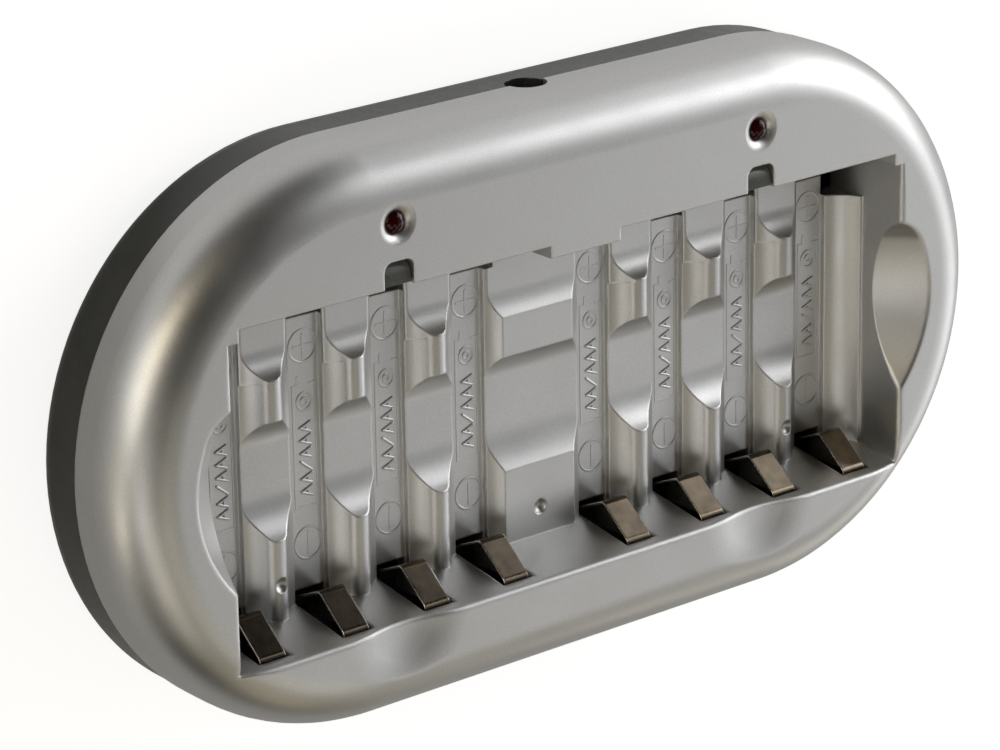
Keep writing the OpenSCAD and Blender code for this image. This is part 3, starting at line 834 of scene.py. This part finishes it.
@dataclass
class LensDomes:
    """The two lights: a low dome that fills the flare of its hole, on a round body with two leads."""

    rim_radius: float = 1.95 * MM
    rim_drop: float = 0.8 * MM
    crown_rise: float = 0.2 * MM
    body_radius: float = 1.6 * MM
    body_drop: float = 3.6 * MM
    neck_drop: float = 1.15 * MM
    lead: float = 0.5 * MM
    lead_reach: float = 1.28 * MM
    steps: int = 48
    dome_points: int = 12
    merge: float = 0.001 * MM
    sharp: float = math.radians(40.0)

    def outline(self) -> list[Vector]:
        """Lists the outline of the body and the dome, with heights measured from the face.

        Returns:
            Points from the bottom of the body to the top of the dome, in the XZ plane.
        """
        rise = self.rim_drop + self.crown_rise
        radius = (self.rim_radius**2 + rise**2) / (2 * rise)
        spread = math.asin(self.rim_radius / radius)
        turns = [spread * (1 - step / self.dome_points) for step in range(self.dome_points + 1)]
        centre = self.crown_rise - radius
        dome = [Vector((radius * math.sin(turn), 0.0, centre + radius * math.cos(turn))) for turn in turns]
        body = [(0.0, -self.body_drop), (self.body_radius, -self.body_drop),
                (self.body_radius, -self.neck_drop)]
        return [Vector((across, 0.0, up)) for across, up in body] + dome

    def shape(self, centre: Vector, foot_z: float) -> bmesh.types.BMesh:
        """Builds the body, the dome and the leads of one light.

        Args:
            centre: middle of the light at the face.
            foot_z: height of the leads' ends.

        Returns:
            The shape.
        """
        bm = bmesh.new()
        verts = [bm.verts.new(centre + point) for point in self.outline()]
        edges = [bm.edges.new(pair) for pair in zip(verts, verts[1:])]
        bmesh.ops.spin(bm, geom=verts + edges, cent=centre, axis=(0.0, 0.0, 1.0), angle=math.tau,
                       steps=self.steps, use_merge=True)
        bmesh.ops.remove_doubles(bm, verts=bm.verts, dist=self.merge)
        length = centre.z - self.body_drop - foot_z
        size = Matrix.Diagonal((self.lead, self.lead, length, 1.0))
        for side in (-1, 1):
            place = Vector((centre.x + side * self.lead_reach, centre.y, foot_z + length / 2))
            bmesh.ops.create_cube(bm, size=1.0, matrix=Matrix.Translation(place) @ size)
        return bm

    def build(self, wardrobe: Wardrobe) -> list[bpy.types.Object]:
        """Builds both lights in the place of the CAD ones.

        Args:
            wardrobe: gives the pieces their finish.

        Returns:
            The pieces.
        """
        face_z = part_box("top_housing")[1].z
        lens = wardrobe.materials[Slot.LENS]
        pieces = []
        for name in ("light_left", "light_right"):
            low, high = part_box(name)
            centre = Vector(((low.x + high.x) / 2, (low.y + high.y) / 2, face_z))
            piece = add_piece(self.shape(centre, low.z), f"{name}_dome", lens, self.sharp)
            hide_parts(name)
            pieces.append(piece)
        return pieces


@dataclass(frozen=True)
class Lamp:
    """A round soft lamp that shines at the middle of the object."""

    name: str
    azimuth: float
    elevation: float
    watts: float
    colour: Colour = (1.0, 1.0, 1.0)
    distance: float = 1.2
    diameter: float = 0.5

    def make(self) -> None:
        """Builds the lamp; azimuth 0 is toward +X and 90 toward +Y."""
        light = bpy.data.lights.new(self.name, "AREA")
        light.shape = "DISK"
        light.size = self.diameter
        light.energy = self.watts
        light.color = self.colour
        lamp = bpy.data.objects.new(self.name, light)
        turn, rise = math.radians(self.azimuth), math.radians(self.elevation)
        toward = Vector((math.cos(turn) * math.cos(rise), math.sin(turn) * math.cos(rise), math.sin(rise)))
        lamp.location = self.distance * toward
        lamp.rotation_euler = toward.to_track_quat("Z", "Y").to_euler()
        bpy.context.scene.collection.objects.link(lamp)


@dataclass
class Studio:
    """Floor, lamps and camera."""

    floor_size: float = 6.0
    floor_colour: Colour = (0.5, 0.5, 0.5)
    floor_glow: float = 0.82
    # Glow seen in reflections and through glass: painted shade up to the object's back, a painted pool of
    # light behind it.
    painted_mirror_light: Span = (0.12, 0.38)
    painted_mirror_range: Span = (0.044, 0.052)
    camera_place: Triple = (-0.43221, 0.23646, 0.53531)
    camera_right: Triple = (0.7719, -0.0163, 0.6355)
    camera_up: Triple = (0.2225, 0.9433, -0.2462)
    lens: float = 157.1
    nearest: float = 0.01
    world_strength: float = 0.0
    lamps: tuple[Lamp, ...] = (
        Lamp("right_window", 11.0, 24.0, 2.7),
        Lamp("right_back_window", 33.0, 26.0, 1.85),
        Lamp("right_front_window", 348.0, 24.0, 0.9),
        Lamp("right_sill", 22.0, 6.0, 1.85),
        Lamp("right_back_sill", 45.0, 6.0, 1.0),
        Lamp("right_front_sill", 337.0, 6.0, 1.15),
        Lamp("front_right_sill", 315.0, 6.0, 0.75, SOFT),
        Lamp("right_back_high", 36.0, 39.0, 0.72),
        Lamp("right_high", 5.0, 52.0, 0.17),
        Lamp("front_right_high", 330.0, 44.0, 0.57),
        Lamp("front_high", 300.0, 44.0, 0.62, SOFT),
        Lamp("front_left_high", 240.0, 44.0, 0.84, WARM),
        Lamp("left_high", 206.0, 42.0, 0.92, PALE),
        Lamp("ceiling_front", 270.0, 66.0, 0.52, WARM),
        Lamp("front_window", 281.0, 24.0, 0.4, AMBER),
        Lamp("left_sill", 202.0, 6.0, 1.2, WARM),
        Lamp("left_back_sill", 157.0, 6.0, 1.05),
        Lamp("left_back_window", 168.0, 24.0, 1.75, SOFT),
        Lamp("back_left_window", 146.0, 24.0, 1.35, AMBER),
    )

    def floor_finish(self) -> bpy.types.Material:
        """Builds the floor's material: pale, with an even glow where it is seen, and a weaker glow where it
        is mirrored or looked through to, which is painted shade up to the object's back and a painted pool
        of light behind it.

        Returns:
            The material.
        """
        material = bpy.data.materials.new("pale_floor")
        material.use_nodes = True
        tree = material.node_tree
        tree.nodes.clear()
        out = tree.nodes.new("ShaderNodeOutputMaterial")
        both = tree.nodes.new("ShaderNodeAddShader")
        matt = tree.nodes.new("ShaderNodeBsdfDiffuse")
        glow = tree.nodes.new("ShaderNodeEmission")
        path = tree.nodes.new("ShaderNodeLightPath")
        matt.inputs["Color"].default_value = (*self.floor_colour, 1.0)
        coords = tree.nodes.new("ShaderNodeTexCoord").outputs["Object"]
        # Painted shade and light: the mirrored glow is dim up to the object's back and bright behind it.
        mirrored = place_value(tree, coords, "Y", self.painted_mirror_range, self.painted_mirror_light)
        total = None
        for ray in ("Is Camera Ray", "Is Glossy Ray", "Is Transmission Ray"):
            part = tree.nodes.new("ShaderNodeMath")
            part.operation = "MULTIPLY_ADD"
            part.inputs[1].default_value = self.floor_glow
            part.inputs[2].default_value = 0.0
            tree.links.new(path.outputs[ray], part.inputs[0])
            if total is not None:
                tree.links.new(mirrored, part.inputs[1])
                tree.links.new(total, part.inputs[2])
            total = part.outputs["Value"]
        tree.links.new(total, glow.inputs["Strength"])
        tree.links.new(matt.outputs["BSDF"], both.inputs[0])
        tree.links.new(glow.outputs["Emission"], both.inputs[1])
        tree.links.new(both.outputs["Shader"], out.inputs["Surface"])
        return material

    def build_floor(self) -> None:
        """Lays the pale floor under the feet."""
        bm = bmesh.new()
        bmesh.ops.create_grid(bm, x_segments=1, y_segments=1, size=self.floor_size / 2)
        mesh = bpy.data.meshes.new("floor")
        bm.to_mesh(mesh)
        bm.free()
        floor = bpy.data.objects.new("floor", mesh)
        bpy.context.scene.collection.objects.link(floor)
        floor.data.materials.append(self.floor_finish())

    def build_world(self) -> None:
        """Keeps the room dark, so that only the lamps and the floor's glow light the object."""
        world = bpy.data.worlds.new("room")
        bpy.context.scene.world = world
        world.use_nodes = True
        world.node_tree.nodes["Background"].inputs["Strength"].default_value = self.world_strength

    def build_camera(self) -> None:
        """Places the camera at the photograph's viewing angle."""
        data = bpy.data.cameras.new("camera")
        data.sensor_fit = "HORIZONTAL"
        data.lens = self.lens
        data.clip_start = self.nearest
        camera = bpy.data.objects.new("camera", data)
        right, up = Vector(self.camera_right).normalized(), Vector(self.camera_up)
        back = right.cross(up).normalized()
        turn = Matrix((right, back.cross(right), back)).transposed()
        camera.matrix_world = Matrix.Translation(self.camera_place) @ turn.to_4x4()
        bpy.context.scene.collection.objects.link(camera)
        bpy.context.scene.camera = camera

    def build(self) -> None:
        """Builds the whole studio."""
        self.build_floor()
        self.build_world()
        self.build_camera()
        for lamp in self.lamps:
            lamp.make()
        bpy.context.scene.view_settings.view_transform = "Standard"


def main() -> None:
    """Builds the studio, dresses the nodes, and adds and reports the new pieces."""
    logging.basicConfig(level=logging.INFO)
    Studio().build()
    wardrobe = Wardrobe()
    wardrobe.dress_nodes()
    for assembly in (BayMarks(), RibRamps(), LensDomes()):
        for piece in assembly.build(wardrobe):
            log.info("piece %s", piece.name)


if __name__ == "__main__":
    main()
